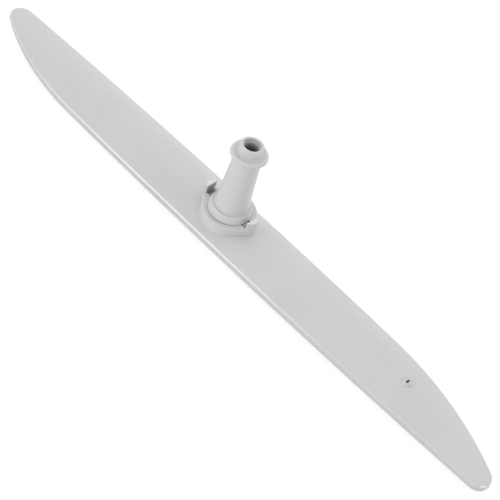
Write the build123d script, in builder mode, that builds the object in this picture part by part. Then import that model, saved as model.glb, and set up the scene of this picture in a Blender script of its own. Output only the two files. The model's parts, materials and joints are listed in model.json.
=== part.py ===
# Dishwasher spray arm: a hollow arm welded from two shells, which spins on a snap-in inlet neck.
# Millimetres, +Z up. The flat underside lies on Z = 0 and the neck's axis is the Z axis.
import os
from math import acos, atan2, cos, sin, sqrt

from build123d import *

# Arm outline, a shape with half-turn symmetry
arm_length = 460.0
arm_width = 46.0
edge_bow_radius = 5500.0
end_sweep_radius = 207.0
tip_radius = 8.0

# Arm section
rim_height = 6.0
crown_rise = 6.0
crown_span_share = 1.3
wall = 1.8
floor_thickness = 1.8
seam_height = 2.8
rim_round = 1.0
underside_chamfer = 1.0

# Hub boss on the upper shell: low and round, drawn out at each end of the X axis to an ear with a hood
boss_radius = 18.6
boss_height = 4.8
boss_draft = 1.5
boss_edge_chamfer = 1.0
cup_wall = 4.4
ear_reach = 22.0
ear_end_width = 3.6
ear_inner_reach = 18.2
ear_width = 9.0
ear_height = 11.2
ear_edge_chamfer = 0.5
hood_wall = 1.1
seat_above_crown = 0.2
seat_thickness = 2.0

# Snap hooks that stand in the pockets below the hoods
hook_width = 5.0
hook_thickness = 1.3
hook_overlap = 0.7
hook_nose_height = 1.3
hook_root_depth = 1.0

# Inlet neck
neck_height = 74.0
stem_base_radius = 11.6
stem_middle_radius = 9.9
stem_top_radius = 9.0
waist_radius = 12.5
skirt_radius = 14.7
skirt_height = 3.3
skirt_draft_run = 1.1
shoulder_height = 1.5
shoulder_run = 1.1
stem_groove_depth = 0.3
foot_thickness = 2.2
tail_radius = 11.5
tail_length = 3.2
bead_radius = 12.1
bead_below_mouth = 8.1
bead_round_radius = 2.1
bead_edge_chamfer = 0.5
bead_flare_height = 1.6
hollow_radius = 1.0
spigot_radius = 7.7
spigot_chamfer = 0.8
mouth_radius = 5.5
mouth_depth = 2.6
bore_radius = 4.9
bore_length = 14.0
bore_chamfer = 0.3
channel_top_radius = 6.4
channel_bottom_radius = 8.9

# Nozzles
top_nozzle_x = 156.0
top_nozzle_radius = 3.8
top_nozzle_rise = 1.3
top_nozzle_draft_run = 1.2
nozzle_slot_length = 3.2
nozzle_slot_width = 1.5
under_nozzle_first_x = 60.0
under_nozzle_pitch = 45.0
under_nozzle_count = 4
under_nozzle_radius = 4.0
under_nozzle_depth = 0.9

# Fits between the neck and the arm
foot_end_clearance = 0.3
foot_side_clearance = 0.5
tail_clearance = 0.4
hook_side_clearance = 0.4
skirt_clearance = 0.4

# Sizes and heights worked out from the sizes above
half_length = arm_length / 2
half_width = arm_width / 2
dome_radius = (half_width**2 + crown_rise**2) / (2 * crown_rise)
crown_top = rim_height + crown_rise
seat_level = crown_top + seat_above_crown
boss_top = crown_top + boss_height
ear_top = crown_top + ear_height
cup_radius = boss_radius - cup_wall
foot_radius = cup_radius - foot_side_clearance
foot_bottom = seat_level + foot_end_clearance
foot_top = foot_bottom + foot_thickness
hook_underside = foot_top + foot_end_clearance
hook_inner_x = cup_radius + hook_side_clearance
hook_nose_x = foot_radius - hook_overlap
skirt_bottom = boss_top + skirt_clearance
skirt_top = skirt_bottom + skirt_height
ring_top = skirt_top + shoulder_height

# Centres and tangent points of the outline's arcs, for the +Y edge and the +X tip
edge_centre = Vector(0, half_width - edge_bow_radius)
tip_x = half_length - tip_radius
tip_y = -edge_centre.Y - sqrt((edge_bow_radius - tip_radius) ** 2 - tip_x**2)
tip_centre = Vector(tip_x, tip_y)
to_tip = tip_centre - edge_centre
sweep_from_edge = edge_bow_radius - end_sweep_radius
sweep_from_tip = end_sweep_radius - tip_radius
sweep_along = (sweep_from_edge**2 - sweep_from_tip**2 + to_tip.length**2) / (2 * to_tip.length)
sweep_across = sqrt(sweep_from_edge**2 - sweep_along**2)
heading = to_tip.normalized()
sweep_centre = edge_centre + heading * sweep_along + Vector(-heading.Y, heading.X) * sweep_across
edge_end = edge_centre + (sweep_centre - edge_centre).normalized() * edge_bow_radius
sweep_end = sweep_centre + (tip_centre - sweep_centre).normalized() * end_sweep_radius
tip_end = (tip_centre + edge_centre).normalized() * edge_bow_radius - edge_centre


def swept_edge_y(x):
    """Y of the outline's +Y side, for x from 0 to the tip."""
    if x < edge_end.X:
        return edge_centre.Y + sqrt(edge_bow_radius**2 - x**2)
    return sweep_centre.Y + sqrt(end_sweep_radius**2 - (x - sweep_centre.X) ** 2)


def straight_edge_y(x):
    """Y of the outline's -Y side, for x from 0 to the tip."""
    return -edge_centre.Y - sqrt(edge_bow_radius**2 - x**2)


def crown_point(x):
    """Y and Z of the crown line at x, for x from 0 to a little past the tip."""
    if x < tip_x:
        middle = (swept_edge_y(x) + straight_edge_y(x)) / 2
        half_chord_squared = ((swept_edge_y(x) - straight_edge_y(x)) / 2) ** 2
    else:
        middle = tip_y
        half_chord_squared = tip_radius**2 - (x - tip_x) ** 2
    return middle, rim_height + dome_radius - sqrt(dome_radius**2 - half_chord_squared)


# The arm's outline: bowed edge, end sweep and tip round, then the same turned by half a turn
with BuildSketch() as outline:
    with BuildLine():
        for turn in (1, -1):
            long_edge = ThreePointArc(tip_end * -turn, Vector(0, half_width) * turn, edge_end * turn)
            end_sweep = TangentArc(edge_end * turn, sweep_end * turn, tangent=long_edge % 1)
            TangentArc(sweep_end * turn, tip_end * turn, tangent=end_sweep % 1)
    make_face()

with BuildSketch() as channel_outline:
    add(outline.sketch)
    offset(amount=-wall, kind=Kind.ARC, mode=Mode.REPLACE)

# A blank with the crowned top: one arc carried along the crown line from tip to tip
crown_half_span = crown_span_share * half_width
crown_edge_drop = dome_radius - sqrt(dome_radius**2 - crown_half_span**2)
blank_bottom = -2 * crown_edge_drop
station_shares = (0, 0.3, 0.55, 0.68, 0.8, 0.9, 0.965, 1.0, 1.03)
station_xs = [-half_length * share for share in station_shares[:0:-1]]
station_xs += [half_length * share for share in station_shares]
with BuildPart() as crowned_blank:
    for x in station_xs:
        side = 1 if x >= 0 else -1
        crown_y, crown_z = crown_point(abs(x))
        section_plane = Plane(origin=(x, side * crown_y, 0), x_dir=(0, 1, 0), z_dir=(1, 0, 0))
        with BuildSketch(section_plane):
            with BuildLine():
                left = (-crown_half_span, crown_z - crown_edge_drop)
                right = (crown_half_span, crown_z - crown_edge_drop)
                ThreePointArc(left, (0, crown_z), right)
                Polyline(right, (crown_half_span, blank_bottom), (-crown_half_span, blank_bottom), left)
            make_face()
    loft()

# The water channel inside the arm
with BuildPart() as water_channel:
    with BuildSketch(Plane.XY.offset(floor_thickness)):
        add(channel_outline.sketch)
    extrude(amount=crown_top)
    add(Pos(0, 0, -wall) * crowned_blank.part, mode=Mode.INTERSECT)

# The hub boss's plan: a circle with a tangent point at each end, cut off flat at the ear
ear_corner = Vector(ear_reach, ear_end_width / 2)
far_corner = Vector(-ear_reach, ear_end_width / 2)
flank_angle = atan2(ear_corner.Y, ear_corner.X) + acos(boss_radius / ear_corner.length)
flank_start = Vector(cos(flank_angle), sin(flank_angle)) * boss_radius
flank_end = Vector(-flank_start.X, flank_start.Y)
with BuildSketch() as boss_outline:
    with BuildLine():
        for turn in (1, -1):
            ThreePointArc(flank_start * turn, Vector(0, boss_radius) * turn, flank_end * turn)
            Polyline(flank_end * turn, far_corner * turn, ear_corner * -turn, flank_start * -turn)
    make_face()

# The pocket in each ear follows the ear, with the wall of its hood left all round
flank_slope = (flank_start.Y - ear_corner.Y) / (ear_corner.X - flank_start.X)
pocket_half_width = ear_width / 2 - hood_wall
pocket_reach = ear_reach - 2 * hood_wall
pocket_end_half_width = ear_corner.Y + flank_slope * (ear_reach - pocket_reach) - 2 * hood_wall
pocket_corner_x = ear_reach - (ear_width / 2 - ear_corner.Y) / flank_slope - hood_wall

# The hub boss: a drafted body with a cup for the neck's foot, and a snap hook in the pocket under each ear's hood
with BuildPart() as hub_boss:
    with BuildSketch(Plane.XY.offset(rim_height)):
        add(boss_outline.sketch)
    extrude(amount=ear_top - rim_height, taper=boss_draft)
    with BuildSketch(Plane.XY.offset(boss_top)):
        Rectangle(2 * ear_inner_reach, arm_width)
        with Locations((0, ear_width / 2 + arm_width), (0, -ear_width / 2 - arm_width)):
            Rectangle(2 * arm_width, 2 * arm_width)
    extrude(amount=ear_top, mode=Mode.SUBTRACT)
    flat_top = hub_boss.faces().filter_by(Axis.Z).filter_by_position(Axis.Z, boss_top, boss_top)
    chamfer(flat_top.edges().filter_by(lambda e: (e @ 0.5).Y**2 > ear_width**2 / 4), boss_edge_chamfer)
    chamfer(hub_boss.faces().filter_by_position(Axis.Z, ear_top, ear_top).edges(), ear_edge_chamfer)
    with BuildSketch(Plane.XY.offset(seat_level)):
        Circle(cup_radius)
    extrude(amount=boss_height, mode=Mode.SUBTRACT)
    with BuildSketch(Plane.XY.offset(seat_level)):
        with BuildLine():
            Polyline(
                (0, pocket_half_width),
                (pocket_corner_x, pocket_half_width),
                (pocket_reach, pocket_end_half_width),
                (pocket_reach, -pocket_end_half_width),
                (pocket_corner_x, -pocket_half_width),
                (0, -pocket_half_width),
                close=True,
            )
        make_face()
        mirror(about=Plane.YZ)
    extrude(amount=ear_top - hood_wall - seat_level, mode=Mode.SUBTRACT)
    with BuildSketch(Plane.XZ) as hooks:
        with BuildLine():
            hook_top = hook_underside + hook_nose_height
            Polyline(
                (hook_inner_x + hook_thickness, seat_level - hook_root_depth),
                (hook_inner_x, seat_level - hook_root_depth),
                (hook_inner_x, hook_underside),
                (hook_nose_x, hook_underside),
                (hook_inner_x, hook_top),
                (hook_inner_x + hook_thickness, hook_top),
                close=True,
            )
        make_face()
        mirror(about=Plane.YZ)
    extrude(amount=hook_width / 2, both=True)

# Upper shell: the domed half with its rounded rim, the hub boss and one nozzle
with BuildPart() as upper_shell:
    with BuildSketch(Plane.XY.offset(seam_height)):
        add(outline.sketch)
    extrude(amount=crown_top)
    add(crowned_blank.part, mode=Mode.INTERSECT)
    fillet(upper_shell.faces().sort_by(Axis.Z)[-1].edges(), rim_round)
    add(hub_boss.part)
    nozzle_y, nozzle_crown = crown_point(top_nozzle_x)
    with Locations((top_nozzle_x, nozzle_y, nozzle_crown - wall / 2)):
        Cone(
            bottom_radius=top_nozzle_radius,
            top_radius=top_nozzle_radius - top_nozzle_draft_run,
            height=wall / 2 + top_nozzle_rise,
            align=(Align.CENTER, Align.CENTER, Align.MIN),
        )
    add(water_channel.part, mode=Mode.SUBTRACT)
    with BuildSketch(Plane.XY.offset(floor_thickness)):
        Circle(cup_radius)
    extrude(amount=seat_level - seat_thickness - floor_thickness, mode=Mode.SUBTRACT)
    with BuildSketch(Plane.XY.offset(floor_thickness)):
        Circle(tail_radius + tail_clearance)
        with Locations((top_nozzle_x, nozzle_y)):
            SlotOverall(nozzle_slot_length, nozzle_slot_width, rotation=90)
    extrude(amount=crown_top + wall, mode=Mode.SUBTRACT)

# Lower shell: a shallow tray with a flat floor and fan nozzles in dished recesses
with BuildPart() as lower_shell:
    with BuildSketch():
        add(outline.sketch)
    extrude(amount=seam_height)
    chamfer(lower_shell.faces().sort_by(Axis.Z)[0].edges(), underside_chamfer)
    add(water_channel.part, mode=Mode.SUBTRACT)
    for side in (1, -1):
        for place in range(under_nozzle_count):
            nozzle_x = under_nozzle_first_x + place * under_nozzle_pitch
            nozzle_y = crown_point(nozzle_x)[0]
            with Locations((side * nozzle_x, side * nozzle_y, 0)):
                Cone(
                    bottom_radius=under_nozzle_radius,
                    top_radius=under_nozzle_radius - under_nozzle_depth,
                    height=under_nozzle_depth,
                    align=(Align.CENTER, Align.CENTER, Align.MIN),
                    mode=Mode.SUBTRACT,
                )
            with BuildSketch(Plane.XY):
                with Locations((side * nozzle_x, side * nozzle_y)):
                    SlotOverall(nozzle_slot_length, nozzle_slot_width, rotation=90)
            extrude(amount=floor_thickness, mode=Mode.SUBTRACT)

# Inlet neck: a turned form with its foot in the cup, a waisted stem and the bead that snaps into the feed pipe
tail_bottom = seat_level - tail_length
bead_edge = neck_height - bead_below_mouth
bead_low = bead_edge - bead_edge_chamfer
stem_top = bead_low - bead_flare_height
stem_middle = (ring_top + stem_top) / 2
spigot_top = neck_height - spigot_chamfer
bore_bottom = neck_height - bore_length

# The bead's round runs into the hollow above it, and the hollow into the straight spigot
bead_centre = Vector(bead_radius - bead_round_radius, bead_edge)
hollow_offset = spigot_radius + hollow_radius - bead_centre.X
hollow_rise = sqrt((bead_round_radius + hollow_radius) ** 2 - hollow_offset**2)
bead_end = bead_centre + Vector(hollow_offset, hollow_rise).normalized() * bead_round_radius
spigot_bottom = bead_edge + hollow_rise

shoulder_radius = skirt_radius - skirt_draft_run - shoulder_run
stem_groove_middle = (shoulder_radius + stem_base_radius) / 2
with BuildPart() as inlet_neck:
    with BuildSketch(Plane.XZ):
        with BuildLine():
            Polyline(
                (channel_bottom_radius, tail_bottom),
                (tail_radius, tail_bottom),
                (tail_radius, foot_bottom),
                (foot_radius, foot_bottom),
                (foot_radius, foot_top),
                (waist_radius, foot_top),
                (waist_radius, skirt_bottom),
                (skirt_radius, skirt_bottom),
                (skirt_radius - skirt_draft_run, skirt_top),
                (shoulder_radius, ring_top),
                (stem_groove_middle, ring_top - stem_groove_depth),
                (stem_base_radius, ring_top),
            )
            ThreePointArc(
                (stem_base_radius, ring_top),
                (stem_middle_radius, stem_middle),
                (stem_top_radius, stem_top),
            )
            Polyline(
                (stem_top_radius, stem_top),
                (bead_radius - bead_edge_chamfer, bead_low),
                (bead_radius, bead_edge),
            )
            bead = TangentArc((bead_radius, bead_edge), bead_end, tangent=(0, 1))
            TangentArc(bead_end, (spigot_radius, spigot_bottom), tangent=bead % 1)
            Polyline(
                (spigot_radius, spigot_bottom),
                (spigot_radius, spigot_top),
                (spigot_radius - spigot_chamfer, neck_height),
                (mouth_radius + bore_chamfer, neck_height),
                (mouth_radius, neck_height - bore_chamfer),
                (mouth_radius, neck_height - mouth_depth),
                (bore_radius, neck_height - mouth_depth),
                (bore_radius, bore_bottom),
                (channel_top_radius, bore_bottom),
                (channel_bottom_radius, tail_bottom),
            )
        make_face()
    revolve(axis=Axis.Z)

os.makedirs("parts", exist_ok=True)
for name, piece in (("upper_shell", upper_shell), ("lower_shell", lower_shell), ("inlet_neck", inlet_neck)):
    piece.part.label = name
    export_step(piece.part, f"parts/{name}.step")
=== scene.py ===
# %% [markdown]
# A dishwasher spray arm lies on a white table with its neck up.
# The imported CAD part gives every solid: the domed upper shell, the flat lower shell and the neck that
# they spin on. This lesson gives those solids their moulded plastic, adds the weld flash and the nozzle
# lips that are too fine for the CAD model, and sets up the photograph's camera, table and light.

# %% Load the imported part
import json
import math

import bpy
from mathutils import Matrix, Vector
from mathutils.geometry import convex_hull_2d


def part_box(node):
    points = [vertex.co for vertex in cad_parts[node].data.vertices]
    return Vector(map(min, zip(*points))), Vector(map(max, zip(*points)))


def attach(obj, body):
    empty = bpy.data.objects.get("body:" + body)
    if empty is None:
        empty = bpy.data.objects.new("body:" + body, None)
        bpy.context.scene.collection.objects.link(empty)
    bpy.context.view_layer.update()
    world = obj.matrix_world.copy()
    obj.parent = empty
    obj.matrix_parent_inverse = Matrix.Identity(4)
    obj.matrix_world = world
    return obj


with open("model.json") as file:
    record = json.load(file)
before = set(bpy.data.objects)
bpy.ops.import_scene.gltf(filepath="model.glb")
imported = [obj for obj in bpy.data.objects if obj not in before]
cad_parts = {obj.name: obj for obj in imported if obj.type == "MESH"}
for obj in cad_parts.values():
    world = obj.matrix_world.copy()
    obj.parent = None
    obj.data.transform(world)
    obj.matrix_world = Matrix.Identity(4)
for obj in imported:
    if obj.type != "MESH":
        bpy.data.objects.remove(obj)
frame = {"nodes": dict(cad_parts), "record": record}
scene = bpy.context.scene
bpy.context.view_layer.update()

# %% [markdown]
# The camera stands where the photograph was taken from. Its place, direction and focal length came from
# fitting the arm's outline, the neck and the mouth to the photograph, so they are given as numbers and not
# guessed by eye. The picture is square, and the frame is centred on the lens, so no shift is needed.

# %% Camera
camera_place = Vector((0.25239, -0.42636, 0.51724))
looking = Vector((-0.32178, 0.6023, -0.73054)).normalized()
leaning = Vector((-0.64586, 0.42456, 0.63452))
sensor_mm = 36
lens_mm = 79.87
nearest_seen = 0.01
farthest_seen = 20
to_the_right = looking.cross(leaning).normalized()
upright = to_the_right.cross(looking)
camera_turn = Matrix((to_the_right, upright, -looking)).transposed().to_4x4()
camera = bpy.data.objects.new("photo_camera", bpy.data.cameras.new("photo_camera"))
camera.matrix_world = Matrix.Translation(camera_place) @ camera_turn
camera.data.sensor_width = sensor_mm
camera.data.lens = lens_mm
camera.data.clip_start = nearest_seen
camera.data.clip_end = farthest_seen
scene.collection.objects.link(camera)
scene.camera = camera
print("camera stands", round(camera_place.length * 1000), "mm from the underside's middle")

# %% [markdown]
# Node trees are long to write out. These helpers add one node, do one sum, and carry a value from one
# range to another, so that each material and each geometry tree below reads as a list of what it is
# made of. Most of a noise lies between 0.3 and 0.7, so that is the range a noise is carried from.


# %% Helpers for node trees
usual_noise = (0.3, 0.7)


def add_node(tree, kind, links=None, settings=None, **values):
    """Adds a node, sets its properties, gives its sockets values and links other sockets to them."""
    node = tree.nodes.new(kind)
    for name, value in (settings or {}).items():
        setattr(node, name, value)
    for name, value in values.items():
        node.inputs[name.replace("_", " ")].default_value = value
    for name, source in (links or {}).items():
        tree.links.new(source, node.inputs[name])
    return node


def work_out(tree, operation, *terms):
    """The result of one Math node, whose terms are numbers or the sockets of other nodes."""
    node = add_node(tree, "ShaderNodeMath", settings={"operation": operation})
    for socket, term in zip(node.inputs, terms):
        if isinstance(term, bpy.types.NodeSocket):
            tree.links.new(term, socket)
        else:
            socket.default_value = term
    return node.outputs["Value"]


def ramp(tree, source, before, after):
    """Carries a value from the range before to the range after, and holds it at their ends."""
    node = add_node(tree, "ShaderNodeMapRange", {"Value": source})
    for name, number in zip(("From Min", "From Max", "To Min", "To Max"), (*before, *after)):
        node.inputs[name].default_value = number
    return node.outputs["Result"]


# %% [markdown]
# The shells and the neck are injection moulded in light grey polypropylene. Such plastic is faintly
# cloudy where the melt cooled unevenly, and has faint lines that run the way the melt ran.
# An image texture would slide over the dome, so both are noise in Object coordinates, in metres. The
# lines are the same noise, stretched by a Mapping node along the way of the melt.


# %% Tone of the plastic
clouds_per_metre = 28
cloud_shade = 0.018
line_shade = 0.012


def grey(level):
    """A neutral colour of a level, as a colour socket takes it."""
    return (level, level, level, 1)


def cloudy_tone(tree, place, tone, lines_per_metre):
    """A grey with clouds and flow lines; lines_per_metre is how finely these lie along X, Y and Z."""
    clouds = add_node(
        tree, "ShaderNodeTexNoise", {"Vector": place}, Scale=clouds_per_metre, Detail=3, Roughness=0.55,
    )
    line_place = add_node(tree, "ShaderNodeMapping", {"Vector": place}, Scale=lines_per_metre)
    lines = add_node(
        tree, "ShaderNodeTexNoise", {"Vector": line_place.outputs["Vector"]}, Scale=1, Detail=2,
    )
    cloudy = ramp(tree, clouds.outputs["Fac"], usual_noise, (-cloud_shade, cloud_shade))
    lined = ramp(tree, lines.outputs["Fac"], usual_noise, (-line_shade, line_shade))
    level = work_out(tree, "ADD", work_out(tree, "ADD", cloudy, lined), 1)
    tint = add_node(tree, "ShaderNodeHueSaturation", {"Value": level}, Color=grey(tone))
    return tint.outputs["Color"]


# %% [markdown]
# The steel of such a mould is often spark-eroded, which leaves a satin skin with a very fine grain.
# Real relief would take millions of faces, so a Bump node tilts the light instead, and one more noise
# makes the gloss a little uneven, as handling does. A Bevel node rounds the look of the CAD model's sharp
# edges, as a mould maker rounds them with a stone.


# %% Skin and gloss of the plastic
grains_per_metre = 2600
grain_height = 0.00006
grain_strength = 0.1
bevel_samples = 4
smears_per_metre = 160
satin_roughness = (0.28, 0.32)


def grained_skin(tree, place, edge_round):
    """The way the skin faces: edges rounded by edge_round, under the fine grain."""
    soft_edge = add_node(tree, "ShaderNodeBevel", settings={"samples": bevel_samples}, Radius=edge_round)
    grain = add_node(
        tree, "ShaderNodeTexNoise", {"Vector": place}, Scale=grains_per_metre, Detail=2, Roughness=0.6,
    )
    skin = add_node(
        tree, "ShaderNodeBump", {"Height": grain.outputs["Fac"], "Normal": soft_edge.outputs["Normal"]},
        Strength=grain_strength, Distance=grain_height,
    )
    return skin.outputs["Normal"]


def satin_gloss(tree, place):
    """The skin's roughness, a little uneven from handling."""
    smears = add_node(
        tree, "ShaderNodeTexNoise", {"Vector": place}, Scale=smears_per_metre, Detail=4, Roughness=0.65,
    )
    return ramp(tree, smears.outputs["Fac"], usual_noise, satin_roughness)


# %% [markdown]
# One material serves the arm and one the neck, and each has a place that differs from the rest of its
# skin. Two materials on one solid would need its faces sorted, so a Mix node fades from the skin to that
# place instead. The place is picked out by a function that is handed in. A Mix node has sockets of the
# same name for numbers and for colours, so mix_sockets gives the numbers of its two values and its result.


# %% Moulded plastic
plastic_ior = 1.49
mix_sockets = {"FLOAT": (2, 3, 0), "RGBA": (6, 7, 2)}


def fade(tree, kind, share, usual, special):
    """The usual value where share is 0, and the special one where it is 1."""
    usual_socket, special_socket, result_socket = mix_sockets[kind]
    node = add_node(tree, "ShaderNodeMix", {0: share, usual_socket: usual}, {"data_type": kind})
    node.inputs[special_socket].default_value = special
    return node.outputs[result_socket]


def moulded_plastic(name, tone, lines_per_metre, edge_round, zone, zone_tone, zone_roughness):
    """A satin grey plastic with one zone of another tone and gloss."""
    material = bpy.data.materials.new(name)
    material.use_nodes = True
    tree = material.node_tree
    tree.nodes.clear()
    place = add_node(tree, "ShaderNodeTexCoord").outputs["Object"]
    in_zone = zone(tree, place)
    skin_tone = cloudy_tone(tree, place, tone, lines_per_metre)
    shader = add_node(
        tree, "ShaderNodeBsdfPrincipled",
        {
            "Base Color": fade(tree, "RGBA", in_zone, skin_tone, grey(zone_tone)),
            "Roughness": fade(tree, "FLOAT", in_zone, satin_gloss(tree, place), zone_roughness),
            "Normal": grained_skin(tree, place, edge_round),
        },
        IOR=plastic_ior,
    )
    add_node(tree, "ShaderNodeOutputMaterial", {"Surface": shader.outputs["BSDF"]})
    print(name, "has", len(tree.nodes), "nodes")
    return material


# %% [markdown]
# The rounded rim of the arm is painted pale and made a little glossier, as a painted highlight that is
# strongest a little left of the middle, and so are a corner of each tip and the tops of the hub's two
# ears.
# All lie at known places, so Object coordinates pick them out and nothing has to be painted by hand. The
# arm's outline is the same after half a turn, so a distance that ignores the signs of X and Y finds both
# tips at once.


# %% Painted highlight on rim, tips and ears
rim_top = 0.006
rim_round = 0.001
rim_fade_in = (rim_top - 1.05 * rim_round, rim_top - 0.85 * rim_round)
rim_fade_out = (rim_top - 0.05 * rim_round, rim_top + 0.1 * rim_round)
highlight_middle = -0.04
highlight_reach = (0.05, 0.15)
rim_end_share = 0.05
tip_corner = (0.2285, 0.0147, 0.0055)
tip_fade = (0.0012, 0.003)
tip_share = 0.75
ear_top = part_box("upper_shell")[1].z
ear_fade_in = (ear_top - 0.0006, ear_top - 0.0002)
ear_share = 0.4


def painted_highlight_edges(tree, place):
    """Where the highlight is painted: 1 on the rim near the arm's middle, less along it, at the tips'
    corners and on the ears.
    """
    axes = add_node(tree, "ShaderNodeSeparateXYZ", {"Vector": place}).outputs
    above = ramp(tree, axes["Z"], rim_fade_in, (0, 1))
    below = ramp(tree, axes["Z"], rim_fade_out, (1, 0))
    along = work_out(tree, "ABSOLUTE", work_out(tree, "SUBTRACT", axes["X"], highlight_middle))
    near_middle = ramp(tree, along, highlight_reach, (1, rim_end_share))
    either_end = add_node(tree, "ShaderNodeVectorMath", {0: place}, {"operation": "ABSOLUTE"})
    from_tip = add_node(
        tree, "ShaderNodeVectorMath", {0: either_end.outputs["Vector"]}, {"operation": "DISTANCE"},
    )
    from_tip.inputs[1].default_value = tip_corner
    at_tips = ramp(tree, from_tip.outputs["Value"], tip_fade, (tip_share, 0))
    highlight_share = work_out(tree, "MAXIMUM", near_middle, at_tips)
    rim = work_out(tree, "MULTIPLY", work_out(tree, "MULTIPLY", above, below), highlight_share)
    ears = ramp(tree, axes["Z"], ear_fade_in, (0, ear_share))
    return work_out(tree, "MAXIMUM", rim, ears)


print("rubbed rim at", rim_top * 1000, "mm and rubbed ears at", round(ear_top * 1000, 1), "mm")

# %% [markdown]
# The wall of the neck's bore is painted dark and made rougher: painted shade, as deep inside a narrow
# tube. It is picked out by its distance from the axis and by its height, which come from the bore that the
# imported record names, and the painted shade fades towards the ledge inside the mouth.


# %% Painted shade in the bore
bore = next(mount for mount in frame["record"]["mounts"] if mount["name"] == "inlet_bore")
bore_radius = bore["dims"]["r_mm"] / 1000
bore_top = bore["pos_m"][2] + bore["dims"]["length_mm"] / 2 / 1000
bore_wall_fade = (bore_radius + 0.00005, bore_radius + 0.0004)
bore_depth_fade = (bore_top - 0.0048, bore_top - 0.0001)


def painted_bore_shade(tree, place):
    """Where shade is painted: 1 deep inside the bore, fading towards the mouth's ledge."""
    flat = add_node(tree, "ShaderNodeVectorMath", {0: place}, {"operation": "MULTIPLY"})
    flat.inputs[1].default_value = (1, 1, 0)
    radius = add_node(tree, "ShaderNodeVectorMath", {0: flat.outputs["Vector"]}, {"operation": "LENGTH"})
    inside = ramp(tree, radius.outputs["Value"], bore_wall_fade, (1, 0))
    height = add_node(tree, "ShaderNodeSeparateXYZ", {"Vector": place}).outputs["Z"]
    deep = ramp(tree, height, bore_depth_fade, (1, 0))
    return work_out(tree, "MULTIPLY", inside, deep)


print("bore of", round(bore_radius * 2000, 1), "mm ends at", round(bore_top * 1000, 1), "mm")

# %% [markdown]
# In the mould the melt would run along the arm and along the neck, so the flow lines are drawn out along X
# on the one and along Z on the other. The neck is a trace lighter and has finer edges. The CAD meshes stay
# as they are and only take a new material.

# %% Finish of the shells and the neck
# arm_plastic's pale zone is a painted highlight on the rim, the tips' corners and the ears' tops.
arm_plastic = moulded_plastic(
    "arm_plastic", tone=0.61, lines_per_metre=(9, 70, 70), edge_round=0.0004,
    zone=painted_highlight_edges, zone_tone=0.95, zone_roughness=0.2,
)
# neck_plastic's dark zone is painted shade deep in the bore.
neck_plastic = moulded_plastic(
    "neck_plastic", tone=0.615, lines_per_metre=(90, 90, 12), edge_round=0.0002,
    zone=painted_bore_shade, zone_tone=0.2, zone_roughness=0.5,
)
finishes = {"upper_shell": arm_plastic, "lower_shell": arm_plastic, "inlet_neck": neck_plastic}
for node_name, finish in finishes.items():
    mesh = frame["nodes"][node_name].data
    mesh.materials.clear()
    mesh.materials.append(finish)
    print(node_name, "is finished in", finish.name)

# %% [markdown]
# The two shells are joined by hot-plate welding, which squeezes a thin bead of melted plastic out of the
# seam. It could be cut into the CAD wall, but a bead that follows a closed path is what Geometry Nodes
# sweep best. The path is read from the frame: the outline is convex, so it is the hull of the lower
# shell's top corners.


# %% Path of the weld seam
same_height = 1e-6


def corners_at(node_name, level):
    """The corners of a CAD node's mesh that lie at a height."""
    corners = [v.co.copy() for v in frame["nodes"][node_name].data.vertices]
    return [c for c in corners if abs(c.z - level) < same_height]


seam_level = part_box("lower_shell")[1].z
seam_corners = [c.xy for c in corners_at("lower_shell", seam_level)]
outline = [seam_corners[i] for i in convex_hull_2d(seam_corners)]
seam_curve = bpy.data.curves.new("weld_path", "CURVE")
seam_curve.dimensions = "3D"
seam_line = seam_curve.splines.new("POLY")
seam_line.points.add(len(outline) - 1)
for point, corner in zip(seam_line.points, outline):
    point.co = (corner.x, corner.y, seam_level, 1)
seam_line.use_cyclic_u = True
print("weld path:", len(outline), "corners,", round(seam_line.calc_length() * 1000), "mm round")

# %% [markdown]
# Both fine pieces are grown by Geometry Nodes, each by a tree that builds the piece on a path or on
# points. A tree's sizes are inputs with names, so that the same tree makes a thicker bead or a wider lip.
# The export drops instances, so each tree ends by making them real, and the result is kept as a plain
# mesh at the origin, with no modifier left on it.


# %% Helpers for geometry trees
def geometry_tree(name, sizes):
    """A geometry tree with a geometry input and output and one named number input for each size."""
    tree = bpy.data.node_groups.new(name, "GeometryNodeTree")
    tree.interface.new_socket("Geometry", in_out="INPUT", socket_type="NodeSocketGeometry")
    tree.interface.new_socket("Geometry", in_out="OUTPUT", socket_type="NodeSocketGeometry")
    for size in sizes:
        tree.interface.new_socket(size, in_out="INPUT", socket_type="NodeSocketFloat")
    return tree, tree.nodes.new("NodeGroupInput").outputs


def end_tree(tree, geometry, material):
    """Ends a tree as the export needs it: real geometry, smooth, with its material."""
    smooth = add_node(tree, "GeometryNodeSetShadeSmooth", {"Geometry": geometry})
    real = add_node(tree, "GeometryNodeRealizeInstances", {"Geometry": smooth.outputs["Geometry"]})
    finished = add_node(
        tree, "GeometryNodeSetMaterial", {"Geometry": real.outputs["Geometry"]}, Material=material,
    )
    add_node(tree, "NodeGroupOutput", {"Geometry": finished.outputs["Geometry"]})


def grow(name, data, tree, sizes, body):
    """Runs a tree on a curve or mesh and keeps the result as a plain mesh that rides on a body."""
    carrier = bpy.data.objects.new(name + "_path", data)
    scene.collection.objects.link(carrier)
    modifier = carrier.modifiers.new(name, "NODES")
    modifier.node_group = tree
    for socket in tree.interface.items_tree:
        if socket.in_out == "INPUT" and socket.name in sizes:
            modifier[socket.identifier] = sizes[socket.name]
    evaluated = carrier.evaluated_get(bpy.context.evaluated_depsgraph_get())
    mesh = bpy.data.meshes.new_from_object(evaluated)
    bpy.data.objects.remove(carrier)
    piece = bpy.data.objects.new(name, mesh)
    scene.collection.objects.link(piece)
    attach(piece, body)
    print(name, "has", len(mesh.polygons), "faces")


# %% [markdown]
# The bead is a small ring swept along the seam. A bead that is squeezed out is never even, so a noise
# makes it a little thinner and thicker along the way, and a fixed seed makes it the same on each run.

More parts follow.
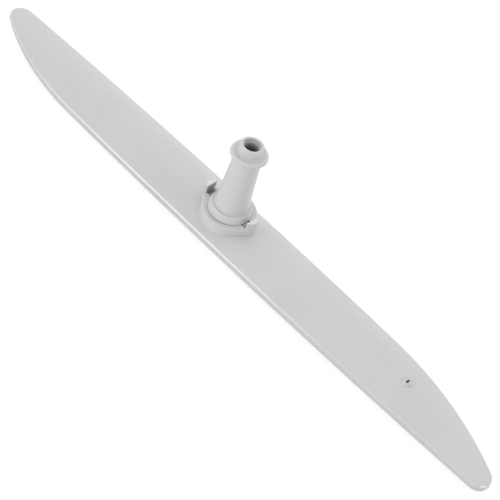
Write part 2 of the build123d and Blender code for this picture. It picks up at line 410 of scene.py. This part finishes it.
# %% Weld flash
bead_sizes = {"Bead radius": 0.00042, "Step": 0.0015, "Ripple": 0.12, "Seed": 7.0}
bead_sides = 10
ripples_per_metre = 130
flash_tree, flash_in = geometry_tree("weld_flash", bead_sizes)
stepped = add_node(
    flash_tree, "GeometryNodeResampleCurve", {"Curve": flash_in["Geometry"], "Length": flash_in["Step"]},
    {"mode": "LENGTH"},
)
ripple = add_node(
    flash_tree, "ShaderNodeTexNoise", {"W": flash_in["Seed"]}, {"noise_dimensions": "4D"},
    Scale=ripples_per_metre, Detail=2,
)
girth = add_node(
    flash_tree, "ShaderNodeMapRange",
    {
        "Value": ripple.outputs["Fac"],
        "To Min": work_out(flash_tree, "SUBTRACT", 1, flash_in["Ripple"]),
        "To Max": work_out(flash_tree, "ADD", 1, flash_in["Ripple"]),
    },
)
bead_ring = add_node(
    flash_tree, "GeometryNodeCurvePrimitiveCircle", {"Radius": flash_in["Bead radius"]},
    Resolution=bead_sides,
)
swept = add_node(
    flash_tree, "GeometryNodeCurveToMesh",
    {
        "Curve": stepped.outputs["Curve"],
        "Profile Curve": bead_ring.outputs["Curve"],
        "Scale": girth.outputs["Result"],
    },
)
end_tree(flash_tree, swept.outputs["Mesh"], arm_plastic)
grow("weld_flash", seam_curve, flash_tree, bead_sizes, "arm")

# %% [markdown]
# The arm has nine nozzles: eight in dished seats on the underside and one on a low bump on the top. Their
# places could be written down a second time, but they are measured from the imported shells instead, so
# that they follow the CAD model: the flat seat round each slot is the only thing at its height there.


# %% Places of the nozzles
dish_level = 0.0009
dish_first_x = 0.06
dish_pitch = 0.045
bump_x = 0.156
bump_half_length = 0.006
bump_half_width = 0.008


def middle_of(points):
    """The middle of a group of points' box."""
    low = Vector([min(p[i] for p in points) for i in range(3)])
    high = Vector([max(p[i] for p in points) for i in range(3)])
    return (low + high) / 2


dishes = {}
for p in corners_at("lower_shell", dish_level):
    step_along = round((abs(p.x) - dish_first_x) / dish_pitch)
    dishes.setdefault((p.x > 0, step_along), []).append(p)
nozzle_places = [middle_of(group) for group in dishes.values()]
upper_corners = [v.co for v in frame["nodes"]["upper_shell"].data.vertices]
bump = [p for p in upper_corners if abs(p.x - bump_x) < bump_half_length and abs(p.y) < bump_half_width]
bump_top = max(p.z for p in bump)
nozzle_places.append(middle_of([p for p in bump if bump_top - p.z < same_height]))
print("nozzles at x in mm:", sorted(round(p.x * 1000, 1) for p in nozzle_places))

# %% [markdown]
# The mouth of each nozzle has a low rounded lip that keeps the fan of water sharp. A lip could be modelled
# at each place, but the nine are equal, so they are instances of one small loop, swept by a ring. The
# round at the loop's ends stays a hair under half its width, so that its two arcs never meet in one point.

# %% Nozzle lips
lip_sizes = {"Slot width": 0.0019, "Slot length": 0.0036, "Lip radius": 0.00028}
lip_sides = 8
end_round_share = 0.499
end_round_steps = 8
lip_tree, lip_in = geometry_tree("nozzle_lips", lip_sizes)
loop = add_node(
    lip_tree, "GeometryNodeCurvePrimitiveQuadrilateral",
    {"Width": lip_in["Slot width"], "Height": lip_in["Slot length"]},
)
end_round = work_out(lip_tree, "MULTIPLY", lip_in["Slot width"], end_round_share)
rounded = add_node(
    lip_tree, "GeometryNodeFilletCurve", {"Curve": loop.outputs["Curve"], "Radius": end_round},
    {"mode": "POLY"}, Count=end_round_steps,
)
lip_ring = add_node(
    lip_tree, "GeometryNodeCurvePrimitiveCircle", {"Radius": lip_in["Lip radius"]}, Resolution=lip_sides,
)
lip = add_node(
    lip_tree, "GeometryNodeCurveToMesh",
    {"Curve": rounded.outputs["Curve"], "Profile Curve": lip_ring.outputs["Curve"]},
)
lips = add_node(
    lip_tree, "GeometryNodeInstanceOnPoints",
    {"Points": lip_in["Geometry"], "Instance": lip.outputs["Mesh"]},
)
end_tree(lip_tree, lips.outputs["Instances"], arm_plastic)
nozzle_points = bpy.data.meshes.new("nozzle_points")
nozzle_points.from_pydata(nozzle_places, [], [])
grow("nozzle_lips", nozzle_points, lip_tree, lip_sizes, "arm")

# %% [markdown]
# The photograph was taken on seamless white. A plain floor gives that. It lies a hair under the arm, so
# that the two faces don't flicker, and reaches far enough to fill the picture.

# %% White table
table_reach = 3
table_drop = 0.0002
table_corners = [(x * table_reach, y * table_reach, 0) for x, y in ((-1, -1), (1, -1), (1, 1), (-1, 1))]
floor_mesh = bpy.data.meshes.new("white_table")
floor_mesh.from_pydata(table_corners, [], [(0, 1, 2, 3)])
floor = bpy.data.objects.new("white_table", floor_mesh)
floor.location.z = -table_drop
scene.collection.objects.link(floor)
print("white table reaches", table_reach, "m each way,", table_drop * 1000, "mm under the arm")

# %% [markdown]
# What the camera sees of the table is lifted to white, by Light Path, while the light that it throws back
# onto the arm stays that of white paper. More light on the table would do it too, but would wash out the
# arm. The arm's shadow stays on it, soft and pale.


# %% White paper
paper_bounce = 0.93
paper_shown = 0.3
paper_lift = 0.76


def seen_directly(tree):
    """1 for rays that show a surface to the camera, also in a mirror or through glass."""
    ray = add_node(tree, "ShaderNodeLightPath").outputs
    camera_or_gloss = work_out(tree, "MAXIMUM", ray["Is Camera Ray"], ray["Is Glossy Ray"])
    return work_out(tree, "MAXIMUM", camera_or_gloss, ray["Is Transmission Ray"])


paper = bpy.data.materials.new("white_paper")
paper.use_nodes = True
paper_tree = paper.node_tree
paper_tree.nodes.clear()
bounce = add_node(paper_tree, "ShaderNodeBsdfDiffuse", Color=grey(paper_bounce))
shown = add_node(paper_tree, "ShaderNodeBsdfDiffuse", Color=grey(paper_shown))
lift = add_node(paper_tree, "ShaderNodeEmission", Strength=paper_lift)
lifted = add_node(
    paper_tree, "ShaderNodeAddShader", {0: shown.outputs["BSDF"], 1: lift.outputs["Emission"]},
)
either = add_node(
    paper_tree, "ShaderNodeMixShader",
    {0: seen_directly(paper_tree), 1: bounce.outputs["BSDF"], 2: lifted.outputs["Shader"]},
)
add_node(paper_tree, "ShaderNodeOutputMaterial", {"Surface": either.outputs["Shader"]})
floor_mesh.materials.append(paper)
print("white_paper has", len(paper_tree.nodes), "nodes")

# %% [markdown]
# The light is that of a product photograph in a light tent: white all round, so that the sides are nearly
# as bright as the top. The room itself lights the arm a little less brightly than it shows.

# %% White room
room_light = 0.79
room_shown = 1
world = bpy.data.worlds.new("white_room")
scene.world = world
world.use_nodes = True
room_tree = world.node_tree
room_tree.nodes.clear()
lit_room = add_node(room_tree, "ShaderNodeBackground", Color=grey(1), Strength=room_light)
seen_room = add_node(room_tree, "ShaderNodeBackground", Color=grey(1), Strength=room_shown)
room_mix = add_node(
    room_tree, "ShaderNodeMixShader",
    {0: seen_directly(room_tree), 1: lit_room.outputs["Background"], 2: seen_room.outputs["Background"]},
)
add_node(room_tree, "ShaderNodeOutputWorld", {"Surface": room_mix.outputs["Shader"]})
print("white_room lights with", room_light, "and shows", room_shown)

# %% [markdown]
# One lamp in front on the left lights the side band and the neck, and a low one behind makes the far half
# of the crown brighter than the near half, which is what shows that the top is crowned at all.
# Near area lamps would fade along half a metre of arm, so both are far lamps with a wide disc.


# %% Studio lamps
def far_lamp(name, direction, disc_degrees, strength):
    """A lamp far away in a direction; the wider its disc, the softer its shadow."""
    lamp = bpy.data.objects.new(name, bpy.data.lights.new(name, "SUN"))
    lamp.data.angle = math.radians(disc_degrees)
    lamp.data.energy = strength
    lamp.rotation_mode = "QUATERNION"
    lamp.rotation_quaternion = Vector(direction).to_track_quat("Z", "Y")
    scene.collection.objects.link(lamp)
    print(name, "shines with", strength, "W/m2 through a disc of", disc_degrees, "degrees")


far_lamp("front_lamp", direction=(-0.5, -1, 0.15), disc_degrees=60, strength=1.0)
far_lamp("back_lamp", direction=(0, 1, 0.5), disc_degrees=100, strength=0.7)
scene.view_settings.view_transform = "Standard"
